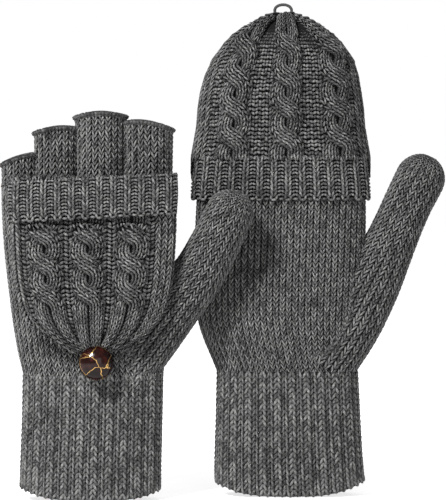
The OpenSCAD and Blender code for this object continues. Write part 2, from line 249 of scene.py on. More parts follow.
# A surface sampled from a grid of points, u across and v along
class Cloth:
    def __init__(self, grid, wrap):
        self.grid = np.asarray(grid, float)
        self.wrap = wrap
        self.rows, self.cols = self.grid.shape[:2]

    def at(self, u, v):
        x = u * self.cols if self.wrap else np.clip(u, 0, 1) * (self.cols - 1)
        y = np.clip(v, 0, 1) * (self.rows - 1)
        i = np.floor(x).astype(int)
        j = np.clip(np.floor(y).astype(int), 0, self.rows - 2)
        if not self.wrap:
            i = np.clip(i, 0, self.cols - 2)
        f, g = (x - i)[..., None], (y - j)[..., None]
        a, b = (i % self.cols, (i + 1) % self.cols) if self.wrap else (i, i + 1)
        low = self.grid[j, a] * (1 - f) + self.grid[j, b] * f
        high = self.grid[j + 1, a] * (1 - f) + self.grid[j + 1, b] * f
        return low * (1 - g) + high * g

    def turn(self, u, v):
        stepU, stepV = 1.5 / self.cols, 1.0 / self.rows
        across = unit(self.at(u + stepU, v) - self.at(u - stepU, v))
        along = unit(self.at(u, v + stepV) - self.at(u, v - stepV))
        out = unit(np.cross(across, along))
        return across, np.cross(out, across), out

    def width(self, v, start=0.0, finish=1.0):
        u = np.linspace(start, finish, 200)
        points = self.at(u, np.full(200, v))
        return np.linalg.norm(np.diff(points, axis=0), axis=1).sum()

    # The distance between the places a little before and a little after each place
    def span(self, u, v, aside, ahead):
        return np.linalg.norm(self.at(u + aside, v + ahead) - self.at(u - aside, v - ahead), axis=-1)

    def length(self, u):
        v = np.linspace(0, 1, 200)
        points = self.at(np.full(200, u), v)
        return np.linalg.norm(np.diff(points, axis=0), axis=1).sum()

    def raised(self, height):
        u = np.arange(self.cols) / (self.cols if self.wrap else self.cols - 1)
        v = np.arange(self.rows) / (self.rows - 1)
        uu, vv = np.meshgrid(u, v)
        out = self.turn(uu, vv)[2]
        return Cloth(self.grid + out * height(uu, vv)[..., None], self.wrap)


def unit(vectors):
    return vectors / np.maximum(np.linalg.norm(vectors, axis=-1, keepdims=True), 1e-12)


# Gives a mesh its object and the body it moves with when one is named, and hides the parts it stands for;
# for two bodies it only bakes the transform
def placePiece(mesh, label, body, nodes):
    piece = bpy.data.objects.new(label, mesh)
    bpy.context.collection.objects.link(piece)
    if isinstance(body, str):
        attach(piece, body)
    else:
        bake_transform(piece)
    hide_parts(*nodes)
    return piece


# The rings of one lobe of yarn: their places along it and their sizes
ringPlaces = np.array([-0.68, 0.0, 0.68])
ringSizes = np.array([0.7, 1.0, 0.7])
sideCount = 5


# One knitted piece: closed shells and leaf-shaped lobes of yarn gathered into one mesh
class Knit:
    def __init__(self, seed):
        self.random = np.random.default_rng(seed)
        self.points, self.faces, self.finish = [], [], []
        self.strands, self.tones, self.paintedShadeHighlights = [], [], []
        self.count = 0

    def add(self, points, faces, strands, tones, paintedShadeHighlights, finish):
        self.points.append(points)
        self.faces.append(faces + self.count)
        self.strands.append(strands)
        self.tones.append(tones)
        self.paintedShadeHighlights.append(paintedShadeHighlights)
        self.finish.append(np.broadcast_to(finish, len(faces)))
        self.count += len(points)

    def lobes(self, middle, along, side, out, halfLength, halfWidth, halfDepth, bow=0.3, tilt=0.0, paintedShade=1.0):
        number = len(middle)
        along, out = unit(along), unit(out)
        side = unit(np.cross(along, out))
        out = np.cross(side, along)
        jitter = self.random.normal(0, 1, (number, 4))
        along = unit(along + side * jitter[:, :1] * 0.045 + out * (jitter[:, 1:2] * 0.03 + tilt))
        length = np.broadcast_to(halfLength, number) * (1 + 0.05 * jitter[:, 2])
        width = np.broadcast_to(halfWidth, number) * (1 + 0.05 * jitter[:, 3])
        depth = np.broadcast_to(halfDepth, number)
        angle = 2 * math.pi * (np.arange(sideCount) + 0.75) / sideCount
        template = [(-1.0, 0.0, 0.0, 0.0, 0.0)]
        for place, size in zip(ringPlaces, ringSizes):
            for k, a in enumerate(angle):
                template.append((place, size * math.cos(a), size * math.sin(a),
                                 (place + 1) / 2, k / sideCount))
        template.append((1.0, 0.0, 0.0, 1.0, 0.5))
        template = np.array(template)
        lift = bow * (1 - template[:, 0] ** 2) - bow * 0.45
        points = (middle[:, None] + along[:, None] * (template[None, :, :1] * length[:, None, None])
                  + side[:, None] * (template[None, :, 1:2] * width[:, None, None])
                  + out[:, None] * ((template[None, :, 2:3] + lift[None, :, None]) * depth[:, None, None]))
        faces = []
        last = len(ringPlaces) * sideCount + 1
        for k in range(sideCount):
            n = (k + 1) % sideCount
            faces.append((0, 1 + n, 1 + k))
            for r in range(len(ringPlaces) - 1):
                a, b = 1 + r * sideCount + k, 1 + r * sideCount + n
                faces += [(a, b, b + sideCount), (a, b + sideCount, a + sideCount)]
            faces.append((last - sideCount + k, last - sideCount + n, last))
        faces = np.array(faces)
        size = len(template)
        every = (faces[None] + (np.arange(number) * size)[:, None, None]).reshape(-1, 3)
        strands = np.tile(template[:, 3:5], (number, 1))
        strands[:, 0] += np.repeat(self.random.random(number), size)
        tones = np.repeat(self.random.random(number), size)
        # Painted shade and painted highlight: the crown is the height round the loop, lighter on top and
        # darker at the sides and underside, 0.35 at the ends where they dive, and is scaled down by the
        # painted shade factor where shade falls
        paintedShadeHighlights = np.where(np.abs(template[:, 0]) > 0.9, 0.35, template[:, 2])[None] * np.ones((number, 1))
        paintedShadeHighlights = (paintedShadeHighlights * np.broadcast_to(paintedShade, number)[:, None]).ravel()
        self.add(points.reshape(-1, 3), every, strands, tones, paintedShadeHighlights, 0)

    def shell(self, outer, inner, wrap):
        rows, cols = outer.shape[:2]
        points = np.concatenate([outer.reshape(-1, 3), inner.reshape(-1, 3)])
        index = np.arange(rows * cols).reshape(rows, cols)
        stop = cols if wrap else cols - 1
        a = index[:-1, :stop]
        b = np.roll(index, -1, 1)[:-1, :stop]
        d, e = a + cols, b + cols
        shift = rows * cols
        quads = [np.stack([a, b, e, d], -1), np.stack([a, d, e, b], -1) + shift]
        outerCount = quads[0].size // 4
        low, lowNext = index[0, :stop], np.roll(index, -1, 1)[0, :stop]
        quads.append(np.stack([low, low + shift, lowNext + shift, lowNext], -1))
        top, topNext = index[-1, :stop], np.roll(index, -1, 1)[-1, :stop]
        quads.append(np.stack([top, topNext, topNext + shift, top + shift], -1))
        if not wrap:
            left = index[:, 0]
            quads.append(np.stack([left[:-1], left[1:], left[1:] + shift, left[:-1] + shift], -1))
            right = index[:, -1]
            quads.append(np.stack([right[:-1], right[:-1] + shift, right[1:] + shift, right[1:]], -1))
        quads = np.concatenate([q.reshape(-1, 4) for q in quads])
        faces = np.concatenate([quads[:, [0, 1, 2]], quads[:, [0, 2, 3]]])
        count = len(points)
        # Finish 1, the ground darkened as painted shade, goes on the outer skin; finish 2, the lining, on
        # the rest
        finish = np.full(len(quads), 2)
        finish[:outerCount] = 1
        self.add(points, faces, np.zeros((count, 2)), np.full(count, 0.5), np.zeros(count),
                 np.tile(finish, 2))

    # A ground under the loops: the cloth let in a little, with a smooth lining
    def ground(self, cloth, rows, cols, sink, wall):
        u = np.arange(cols) / cols if cloth.wrap else np.linspace(0, 1, cols)
        v = np.linspace(0, 1, rows)
        uu, vv = np.meshgrid(u, v)
        out = cloth.turn(uu, vv)[2]
        surface = cloth.at(uu, vv)
        self.shell(surface - out * sink, surface - out * wall, cloth.wrap)

    def build(self, label, body, nodes, materials):
        points = np.concatenate(self.points).astype(np.float32)
        faces = np.concatenate(self.faces).astype(np.int32)
        mesh = bpy.data.meshes.new(label)
        mesh.vertices.add(len(points))
        mesh.vertices.foreach_set("co", points.ravel())
        mesh.loops.add(len(faces) * 3)
        mesh.loops.foreach_set("vertex_index", faces.ravel())
        mesh.polygons.add(len(faces))
        mesh.polygons.foreach_set("loop_start", np.arange(0, len(faces) * 3, 3, dtype=np.int32))
        mesh.polygons.foreach_set("material_index", np.concatenate(self.finish).astype(np.int32))
        mesh.polygons.foreach_set("use_smooth", np.ones(len(faces), bool))
        mesh.update(calc_edges=True)
        strand = mesh.uv_layers.new(name="strand")
        turns = np.concatenate(self.strands).astype(np.float32)
        strand.data.foreach_set("uv", turns[faces.ravel()].ravel())
        for name, values in (("tone", self.tones), ("crown", self.paintedShadeHighlights)):
            layer = mesh.attributes.new(name, "FLOAT", "POINT")
            layer.data.foreach_set("value", np.concatenate(values).astype(np.float32))
        for material in materials:
            mesh.materials.append(material)
        print("made", label, len(faces), "triangles")
        return placePiece(mesh, label, body, nodes)


# One leg of a V-shaped loop, as shares of the room that the loop has
plainStyle = {
    "apart": 0.212,
    "lean": 0.4,
    "long": 0.92,
    "fat": 0.175,
    "deepest": 0.0009,
    "bow": 0.35,
    "tilt": -0.13,
}


# Columns of V-shaped loops between two places across a cloth
def plainStitches(knit, cloth, wales, courses, start=0.0, finish=1.0, high=1.0):
    style = plainStyle
    i, j = np.meshgrid(np.arange(wales), np.arange(courses))
    u = start + (i.ravel() + 0.5) / wales * (finish - start)
    v = (j.ravel() + 0.5) / courses * high
    span, rise = (finish - start) / wales, high / courses
    for hand in (-1, 1):
        uu = u + hand * span * style["apart"]
        across, along, out = cloth.turn(uu, v)
        wide = cloth.span(uu, v, span / 2, 0)
        tall = cloth.span(uu, v, 0, rise / 2)
        along = unit(cloth.at(u, v + rise / 2) - cloth.at(u, v - rise / 2))
        direction = unit(along + across * hand * style["lean"])
        knit.lobes(cloth.at(uu, v), direction, across, out, tall * style["long"], wide * style["fat"],
                   np.minimum(wide * 0.25, style["deepest"]), style["bow"], style["tilt"])


# A chain of loops along an edge
def edgeStitches(knit, cloth, v, number, fat, out=0.0, paintedShade=1.0):
    u = (np.arange(number) + 0.5) / number
    vv = np.full(number, float(v))
    across, along, outward = cloth.turn(u, vv)
    wide = cloth.span(u, vv, 0.5 / number, 0)
    sign = np.where(np.arange(number) % 2 == 0, 1.0, -1.0)
    direction = unit(across + along * (sign * 0.3)[:, None] + outward * 0.15)
    middle = cloth.at(u, vv) + outward * out
    knit.lobes(middle, direction, along, outward, wide * 0.85, fat, fat, 0.3, paintedShade=paintedShade)


# A level ring of points, even along its outline
def ringPoints(halfWidth, halfDepth, power, cols):
    angle = np.linspace(0, 2 * math.pi, 721)
    c, s = np.cos(angle), np.sin(angle)
    x = halfWidth * np.sign(c) * np.abs(c) ** (2 / power)
    y = halfDepth * np.sign(s) * np.abs(s) ** (2 / power)
    step = np.concatenate([[0], np.cumsum(np.hypot(np.diff(x), np.diff(y)))])
    want = np.arange(cols) / cols * step[-1]
    return np.interp(want, step, x), np.interp(want, step, y)


def smooth(value):
    value = np.clip(value, 0, 1)
    return value * value * (3 - 2 * value)


# A tube of level rings from a table of (height, left, right, half depth, middle depth)
def levelTube(table, rows, cols, power):
    table = np.array(table, float)
    grid = np.zeros((rows, cols, 3))
    heights = np.linspace(table[0, 0], table[-1, 0], rows)
    curves = [softTable(table[:, 0], table[:, k], heights) for k in range(1, 5)]
    for r, z in enumerate(heights):
        left, right, depth, middle = (curve[r] for curve in curves)
        x, y = ringPoints((right - left) / 2, depth, power, cols)
        grid[r, :, 0] = (left + right) / 2 + x
        grid[r, :, 1] = middle + y
        grid[r, :, 2] = z
    return grid


# A smooth curve through the points of a table
def softTable(places, values, wanted):
    places, values = np.asarray(places, float), np.asarray(values, float)
    slope = np.gradient(values, places)
    k = np.clip(np.searchsorted(places, wanted) - 1, 0, len(places) - 2)
    step = places[k + 1] - places[k]
    t = np.clip((wanted - places[k]) / step, 0, 1)
    return ((2 * t ** 3 - 3 * t ** 2 + 1) * values[k] + (t ** 3 - 2 * t ** 2 + t) * step * slope[k]
            + (-2 * t ** 3 + 3 * t ** 2) * values[k + 1] + (t ** 3 - t ** 2) * step * slope[k + 1])


# A tube round a path of (x, y, z, half width, half depth), with a rounded tip if wanted
def pathTube(path, rows, cols, tip):
    path = np.array(path, float)
    step = np.concatenate([[0], np.cumsum(np.linalg.norm(np.diff(path[:, :3], axis=0), axis=1))])
    share = np.linspace(0, 1, rows)
    if tip:
        dome = 1 - tip
        arch = np.sin((share - 0.8) / 0.2 * math.pi / 2)
        share = np.where(share < 0.8, share / 0.8 * dome, dome + (1 - dome) * arch)
    want = share * step[-1]
    line = np.stack([softTable(step, path[:, k], want) for k in range(5)], 1)
    ahead = unit(np.gradient(line[:, :3], axis=0))
    across = unit(np.cross(np.array([0, 1, 0.0]), ahead))
    depthWay = np.cross(ahead, across)
    size = np.ones(rows)
    if tip:
        size = np.sqrt(np.clip(1 - (np.clip(share - (1 - tip), 0, None) / tip) ** 2, 0.0004, 1))
    grid = np.zeros((rows, cols, 3))
    for r in range(rows):
        x, y = ringPoints(line[r, 3] * size[r], line[r, 4] * size[r], 2.15, cols)
        grid[r] = line[r, :3] + across[r] * x[:, None] + depthWay[r] * y[:, None]
    return grid


# Sizes shared by both gloves, read from the frame

def spans(node):
    low, high = (np.array(corner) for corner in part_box(node))
    return low, high, high - low


class Glove:
    def __init__(self, side, facing, seed):
        self.side = side
        self.facing = facing
        self.seed = seed
        low, high, size = spans(side + "_cuff")
        self.middle = (low + high) / 2
        self.cuffSize = size
        low, high, size = spans(side + "_hand")
        self.wrist, self.crotch = low[2], high[2]
        self.palmWidth, self.palmDepth, self.palmHeight = size
        self.yarn = [shade["yarn"], shade["ground"], shade["lining"]]

    def node(self, name):
        return self.side + "_" + name

    # The pocket's two bodies, the back panel's and the front panel's, with a place on each
    def pocket(self):
        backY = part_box(self.node("flap_back"))[1][1]
        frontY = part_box(self.node("flap_front"))[0][1]
        return self.node("flap"), self.node("flap_front"), (0, backY, 0), (0, frontY, 0)


gloves = {"left": Glove("left", -1, 11), "right": Glove("right", 1, 37)}


# Cuffs: broad ribs with narrow dark valleys

cuffStyle = {
    "ribs": 23,
    "courses": 23,
    "relief": 0.0019,
    "outline": {
        "left": [(0.0, -0.505, 0.464), (0.25, -0.5, 0.468), (0.6, -0.488, 0.475), (1.0, -0.48, 0.482)],
        "right": [(0.0, -0.512, 0.53), (0.25, -0.514, 0.518), (0.6, -0.505, 0.5), (1.0, -0.497, 0.482)],
    },
}


def makeCuff(glove):
    knit = Knit(glove.seed)
    width, depth, height = glove.cuffSize
    table = []
    for share, left, right in cuffStyle["outline"][glove.side]:
        table.append((share * height, glove.middle[0] + left * width, glove.middle[0] + right * width,
                      depth * 0.5 * (1.0 - 0.05 * share), glove.middle[1]))
    grid = levelTube(table, 60, 552, 2.5)
    middleShare = (grid[:, :, 0] - glove.middle[0]) / (width / 2)
    lift = np.clip(1 - grid[:, :, 2] / (height * 0.35), 0, 1) ** 2 * np.abs(middleShare) ** 3.2 * 0.0066
    grid[:, :, 2] += lift + 0.0008
    ribs = cuffStyle["ribs"]

    def ridge(u, v):
        wave = np.abs(np.cos(math.pi * (u * ribs + 0.5)))
        calm = 0.25 + 0.75 * smooth((v - 0.01) / 0.07)
        return cuffStyle["relief"] * (np.minimum(1, wave * 1.75) ** 1.2 - 1) * calm

    cloth = Cloth(grid, True).raised(ridge)
    knit.ground(cloth, 34, 230, 0.0007, 0.0028)
    courses = cuffStyle["courses"]
    i, j = np.meshgrid(np.arange(ribs), np.arange(courses))
    i, j = i.ravel(), j.ravel()
    for column, sign in ((-0.355, -1), (-0.12, 1), (0.12, -1), (0.355, 1)):
        u = (i + 0.5 + column) / ribs
        v = (j + 0.45) / courses
        across, along, out = cloth.turn(u, v)
        wide = cloth.span(u, v, 0.125 / ribs, 0)
        direction = unit(along + across * sign * 0.46)
        tall = height / courses
        knit.lobes(cloth.at(u, v), direction, across, out, tall * 0.9, np.minimum(wide * 0.5, 0.00098),
                   0.00085, 0.5)
    # The edge loops, sunk a little, with painted shade that halves their crown
    edgeStitches(knit, cloth, 0.006, ribs * 4, 0.0011, out=-0.0004, paintedShade=0.5)
    knit.build(glove.node("cuff_knit"), glove.node("glove"), [glove.node("cuff")], glove.yarn)


for glove in gloves.values():
    makeCuff(glove)
print("cuffs done")


# Hands: plain knit palm and back

handStyle = {
    "wales": 60,
    "courses": 41,
    "back": 0.46,
    "outline": {
        "left": [(-0.03, -0.405, 0.405, 0.49), (0.0, -0.41, 0.412, 0.5), (0.12, -0.44, 0.418, 0.5),
                 (0.25, -0.465, 0.43, 0.5), (0.42, -0.49, 0.44, 0.5), (0.7, -0.523, 0.452, 0.5),
                 (0.97, -0.535, 0.462, 0.49), (1.0, -0.535, 0.463, 0.42), (1.016, -0.53, 0.458, 0.22)],
        "right": [(-0.03, -0.415, 0.4, 0.44), (0.0, -0.425, 0.408, 0.445), (0.1, -0.47, 0.41, 0.48),
                  (0.18, -0.507, 0.415, 0.52), (0.28, -0.54, 0.42, 0.55), (0.42, -0.55, 0.43, 0.555),
                  (0.75, -0.555, 0.455, 0.51), (0.97, -0.545, 0.455, 0.48), (1.0, -0.545, 0.455, 0.42),
                  (1.016, -0.54, 0.45, 0.22)],
    },
}


def makeHand(glove):
    knit = Knit(glove.seed + 1)
    table = []
    for share, left, right, depth in handStyle["outline"][glove.side]:
        swell = max(0.0, depth - handStyle["back"]) * (glove.side == "right")
        table.append((glove.wrist + share * glove.palmHeight, glove.middle[0] + left * glove.palmWidth,
                      glove.middle[0] + right * glove.palmWidth, depth * glove.palmDepth,
                      glove.middle[1] - swell * glove.palmDepth))
    cloth = Cloth(levelTube(table, 80, 360, 2.5), True)
    knit.ground(cloth, 40, 120, 0.0006, 0.0026)
    plainStitches(knit, cloth, handStyle["wales"], handStyle["courses"])
    knit.build(glove.node("hand_knit"), glove.node("glove"), [glove.node("hand")], glove.yarn)


for glove in gloves.values():
    makeHand(glove)
print("hands done")


# Thumbs

# Points of (side, depth, height, half width, half depth) as shares of the palm's width, depth and height
thumbStyle = {
    "wales": 24,
    "courses": {"left": 41, "right": 46},
    "path": {
        "left": [(0.2, 0.0, 0.05, 0.18, 0.47), (0.345, -0.02, 0.22, 0.178, 0.47),
                 (0.495, -0.08, 0.385, 0.162, 0.44), (0.63, -0.2, 0.535, 0.147, 0.41),
                 (0.73, -0.33, 0.695, 0.139, 0.385), (0.815, -0.44, 0.85, 0.134, 0.37),
                 (0.875, -0.5, 0.957, 0.13, 0.36)],
        "right": [(0.2, 0.0, 0.04, 0.19, 0.47), (0.36, 0.0, 0.25, 0.187, 0.46),
                  (0.49, 0.0, 0.47, 0.178, 0.44), (0.622, 0.0, 0.7, 0.145, 0.41),
                  (0.677, 0.0, 0.81, 0.139, 0.4), (0.728, 0.0, 0.91, 0.139, 0.39),
                  (0.79, 0.0, 1.02, 0.142, 0.385), (0.852, 0.0, 1.143, 0.138, 0.38)],
    },
}


def makeThumb(glove):
    knit = Knit(glove.seed + 2)
    path = [(glove.middle[0] + x * glove.palmWidth, glove.middle[1] + y * glove.palmDepth,
             glove.wrist + z * glove.palmHeight, w * glove.palmWidth, d * glove.palmDepth)
            for x, y, z, w, d in thumbStyle["path"][glove.side]]
    cloth = Cloth(pathTube(path, 90, 200, 0.105), True)
    knit.ground(cloth, 48, 72, 0.0006, 0.0026)
    courses = thumbStyle["courses"][glove.side]
    plainStitches(knit, cloth, thumbStyle["wales"], courses, high=0.985)
    knit.build(glove.node("thumb_knit"), glove.node("glove"), [glove.node("thumb")], glove.yarn)


for glove in gloves.values():
    makeThumb(glove)
print("thumbs done")


# Half fingers

fingerStyle = {
    "names": ["index_finger", "middle_finger", "ring_finger", "little_finger"],
    "tilt": [-0.16, 0.02, 0.12, 0.32],
    "root": 0.1,
    "flare": 1.035,
    "wale": 0.0035,
    "course": 0.0031,
    "droop": 14,
    "roll": 0.0009,
}


def makeFinger(glove, number):
    name = fingerStyle["names"][number]
    knit = Knit(glove.seed + 3 + number)
    low, high, size = spans(glove.node(name))
    root = low[2] - fingerStyle["root"] * glove.palmHeight
    middle = (low + high) / 2
    grown = 1.0 if glove.side == "right" else fingerStyle["flare"]
    table = [(root, low[0], high[0], size[1] * 0.55, middle[1]),
             (low[2], low[0], high[0], size[1] * 0.53, middle[1]),
             (high[2], middle[0] - size[0] / 2 * grown, middle[0] + size[0] / 2 * grown, size[1] * 0.5,
              middle[1])]
    grid = levelTube(table, 40, 160, 2.3)
    share = (grid[:, :, 2] - root) / (high[2] - root)
    slope = fingerStyle["tilt"][number] if glove.side == "left" else 0
    aside = grid[:, :, 0] - middle[0]
    grid[:, :, 2] += share ** 3 * (aside * slope - np.abs(aside) ** 2 * fingerStyle["droop"])
    roll = smooth((share - 0.93) / 0.07)
    cloth = Cloth(grid, True)
    out = cloth.turn(*np.meshgrid(np.arange(160) / 160, np.arange(40) / 39))[2]
    cloth = Cloth(grid + out * (roll * fingerStyle["roll"])[..., None], True)
    knit.ground(cloth, 26, 60, 0.0006, 0.0028)
    wales = max(14, int(round(cloth.width(0.5) / fingerStyle["wale"])))
    rise = (high[2] - root) / fingerStyle["course"]
    plainStitches(knit, cloth, wales, int(round(rise)), high=0.97)
    # The rolled edge's loops, given painted shade as darker crowns
    edgeStitches(knit, cloth, 0.985, wales * 2, 0.0013, paintedShade=0.62)
    edgeStitches(knit, cloth, 0.96, wales * 2, 0.0009, paintedShade=0.8)
    nodes = [glove.node(name)] + ([glove.node("finger_web")] if number == 1 else [])
    knit.build(glove.node(name + "_knit"), glove.node("glove"), nodes, glove.yarn)


for glove in gloves.values():
    for number in range(4):
        makeFinger(glove, number)
print("fingers done")


# Flaps: cables on the front, plain knit behind

# Outline: share of the flap's length against share of its half width
flapStyle = {
    "outline": {
        "left": [(-0.05, 0.985), (0.0, 0.985), (0.27, 0.985), (0.467, 0.965), (0.583, 0.94), (0.7, 0.89),
                 (0.765, 0.84), (0.825, 0.765), (0.885, 0.645), (0.94, 0.475), (0.985, 0.28), (1.0, 0.14)],
        "right": [(0.0, 0.99), (0.15, 0.985), (0.333, 0.925), (0.432, 0.912), (0.533, 0.885), (0.632, 0.845),
                  (0.733, 0.775), (0.833, 0.642), (0.884, 0.545), (0.93, 0.42), (0.97, 0.27), (1.0, 0.12)],
    },
    "cables": {
        "left": {"spacing": 0.0230, "shift": 0.0027, "crossing": 0.0268, "every": 0.0155, "count": 3,
                 "chain": 0.0382, "plain": (0.0355, 0.0355), "hidden": 0.0205, "lean": 0.0},
        "right": {"spacing": 0.0296, "shift": 0.0026, "crossing": 0.0235, "every": 0.016, "count": 4,
                  "chain": 0.0, "plain": (0.0422, 0.0455), "hidden": 0.0, "lean": -0.0013},
    },
    "swing": 0.0052,
    "wale": 0.0031,
    "rise": 0.0034,
    "puff": 0.0014,
    "course": 0.0024,
    "purlRise": 0.0021,
    "purlWidth": 0.0021,
    "backWale": 0.0034,
    "backCourse": 0.0025,
    "gathers": 26,
    # the strand's round top, the part of the rise that a lower strand keeps, and the bed it lies in
    "arch": 0.0019,
    "lower": 0.55,
    "bed": 0.0007,
    "edge": 1.7,
    "legApart": 0.245,
    "legLean": 0.26,
    "purlLean": 0.62,
    "purlDrift": 0.00022,
    "crease": 0.0016,
}


# The flap's pocket as it stands when closed; the folded one is turned over afterwards
def flapGrid(glove, rows, cols):
    seam = np.array(jointList[glove.node("flap_fold")]["pos_m"])
    backLow, backHigh, backSize = spans(glove.node("flap_back"))
    frontLow, frontHigh = spans(glove.node("flap_front"))[:2]
    tieLow, tieHigh = spans(glove.node("crown_tie"))[:2]
    middleX = (backLow[0] + backHigh[0]) / 2
    if glove.side == "right":
        low, high = frontLow[1], backHigh[1]
        backStart, frontStart = backLow[2] - seam[2], frontLow[2] - seam[2]
        length = tieHigh[2] - seam[2]
    else:
        low, high = (2 * seam[1] - y for y in (backHigh[1], frontLow[1]))
        backStart, frontStart = seam[2] - backHigh[2], seam[2] - frontHigh[2]
        length = seam[2] - tieLow[2]
    middleY, depth = (low + high) / 2, abs(high - low) / 2
    outline = np.array(flapStyle["outline"][glove.side])
    style = flapStyle["cables"][glove.side]
    share = 1 - (1 - np.linspace(0, 1, rows)) ** 1.25
    grid = np.zeros((rows, cols, 3))
    y = ringPoints(1, 1, 2.0, cols)[1]
    toFront = smooth((-y if glove.side == "right" else y) * 2.2 + 0.5)
    start = backStart + (frontStart - backStart) * toFront
    for r, s in enumerate(share):
        z = start + s * (length - start)
        wide = backSize[0] / 2 * np.interp(z / length, outline[:, 0], outline[:, 1])
        thick = 1 - np.clip((z / length - 0.5) / 0.515, 0, 1) ** 2.4
        thick = np.maximum(np.clip(thick, 0, 1) ** 0.5, 0.12)
        ringX, ringY = ringPoints(float(np.mean(wide)), depth, 2.5, cols)
        lean = style["lean"] * (1 - smooth((z / length - 0.5) / 0.3))
        grid[r, :, 0] = middleX + lean + ringX * wide / np.mean(wide)
        grid[r, :, 1] = middleY + ringY * thick
        grid[r, :, 2] = seam[2] + z
    return grid, seam, frontStart


# The flap's surface, and where its cables run on it
class FlapPlan:
    def __init__(self, glove):
        grid, seam, frontStart = flapGrid(glove, 120, 480)
        self.style = flapStyle["cables"][glove.side]
        self.turned = glove.side == "left"
        self.frontU = 0.25 if self.turned else 0.75
        if self.turned:
            grid[:, :, 1] = 2 * seam[1] - grid[:, :, 1]
            grid[:, :, 2] = 2 * seam[2] - grid[:, :, 2]
        base = Cloth(grid, True)
        self.girth = base.width(0.1)
        self.ringPlace = np.linspace(0, 1, 40)
        self.rings = np.array([base.width(v) for v in self.ringPlace])
        self.lineV = np.linspace(0, 1, 300)
        line = base.at(np.full(300, self.frontU), self.lineV)
        self.runs = np.concatenate([[0], np.cumsum(np.linalg.norm(np.diff(line, axis=0), axis=1))])
        self.first = frontStart
        self.last = self.distance(np.array([0.985]))[0]
        self.cloth = base.raised(self.cableLift)

    def narrow(self, v, least):
        return np.clip(np.interp(v, self.ringPlace, self.rings) / self.girth, least, 1)

    # How far along the flap a place is, and the place for a distance
    def distance(self, v):
        return self.first + np.interp(v, self.lineV, self.runs)

    def placeOf(self, far):
        return np.interp(far - self.first, self.runs, self.lineV)

    # The places of a number of even rows
    def evenRows(self, number):
        return self.placeOf(self.first + (np.arange(number) + 0.5) / number * (self.last - self.first))

    # None of the cable under the folded band, all of it below
    def covered(self, v):
        hidden = self.style["hidden"]
        return smooth((self.distance(v) - hidden) / 0.004) if hidden else np.ones_like(v)

    def cableLift(self, u, v):
        swing, wale, spacing = flapStyle["swing"], flapStyle["wale"], self.style["spacing"]
        t = (u - self.frontU) * self.girth - self.style["shift"]
        near = np.full(u.shape, 1e3)
        for k in (-1, 0, 1):
            near = np.minimum(near, np.abs(t - k * spacing))
        hump = np.cos(np.clip(near / (swing + flapStyle["edge"] * wale), 0, 1) * math.pi / 2)
        inside = smooth((spacing * 1.72 - np.abs(t)) / 0.004)
        gather = smooth((v - 0.72) / 0.25) * 0.0016
        level = hump * (flapStyle["puff"] + gather) - flapStyle["bed"] - gather
        under = (1 - self.covered(v)) * (0.75 - np.clip(np.abs(t) / self.girth * 4, 0, 1) ** 6) * 0.0016
        return inside * level * self.covered(v) - np.maximum(under, 0)

    # How far aside a strand has swung, and how far it is over or under the other
    def sway(self, at, strand):
        crossing, every = self.style["crossing"], self.style["every"]
        held = np.clip(at, crossing - every * 0.5, crossing + every * (self.style["count"] - 0.5))
        phase = math.pi * (held - crossing) / every
        phase = phase + math.pi * (0.5 + strand)
        return flapStyle["swing"] * np.tanh(1.3 * np.cos(phase)) / math.tanh(1.3), np.sin(phase)

    # Points of a strand of cable k, held square to its own line
    def placed(self, at, aside, k, strand):
        side, over = self.sway(at, strand)
        slope = (self.sway(at + 0.0004, strand)[0] - self.sway(at - 0.0004, strand)[0]) / 0.0008
        bend = np.arctan(slope)
        v = self.placeOf(at - aside * np.sin(bend))
        across = self.style["shift"] + k * self.style["spacing"] + side + aside * np.cos(bend)
        u = self.frontU + across / self.girth
        rise = np.where(over > 0, over, over * flapStyle["lower"]) * flapStyle["rise"]
        arch = flapStyle["arch"] * (1 - (aside / (flapStyle["edge"] * flapStyle["wale"])) ** 2)
        height = (rise + arch - flapStyle["bed"]) * self.covered(v) - (1 - self.covered(v)) * 0.0012
        out = self.cloth.turn(u, v)[2]
        return self.cloth.at(u, v) + out * height[:, None], out, v, side, over


# One column of legs on a strand; painted shade darkens the strand where it passes under the other, and its
# outer columns
def strandStitches(knit, plan, k, strand, offset, hand):
    swing, wale = flapStyle["swing"], flapStyle["wale"]
    fine = np.linspace(plan.first, plan.last, 900)
    run = np.hypot(np.diff(fine), np.diff(plan.sway(fine, strand)[0]))
    run = np.cumsum(np.concatenate([[0], run]))
    number = int(run[-1] / flapStyle["course"])
    at = np.interp((np.arange(number) + 0.5) / number * run[-1], run, fine)
    here, out, v, aside, over = plan.placed(at, offset, k, strand)
    step = 0.0005
    ahead = unit(plan.placed(at + step, offset, k, strand)[0] - plan.placed(at - step, offset, k, strand)[0])
    side = np.cross(ahead, out)
    keep = (v > 0.001) & (v < 0.99)
    # Painted shade where this strand passes under the other, and on the strand's outer columns
    buried = smooth((0.35 - over) / 0.9)
    buried = buried * smooth((swing * 1.05 - np.abs(aside)) / (swing * 0.9))
    edge = (np.abs(offset) / (1.25 * wale)) ** 4 * 0.35
    paintedShade = (1.06 - 0.72 * buried) * (1 - edge)
    tall = np.full(number, run[-1] / number) * 0.88
    fat = wale * 0.205 * plan.narrow(v, 0.4)
    direction = unit(ahead + side * hand * flapStyle["legLean"])
    knit.lobes(here[keep], direction[keep], side[keep], out[keep], tall[keep], fat[keep], 0.00085,
               0.35, -0.12, paintedShade=paintedShade[keep])


# Rope cables: two strands of three wales, each passing over the other in turn
def cableStitches(knit, plan):
    for k in (-1, 0, 1):
        for strand in (0, 1):
            for column in (-1, 0, 1):
                for hand in (-1, 1):
                    offset = (column + hand * flapStyle["legApart"]) * flapStyle["wale"]
                    strandStitches(knit, plan, k, strand, offset, hand)


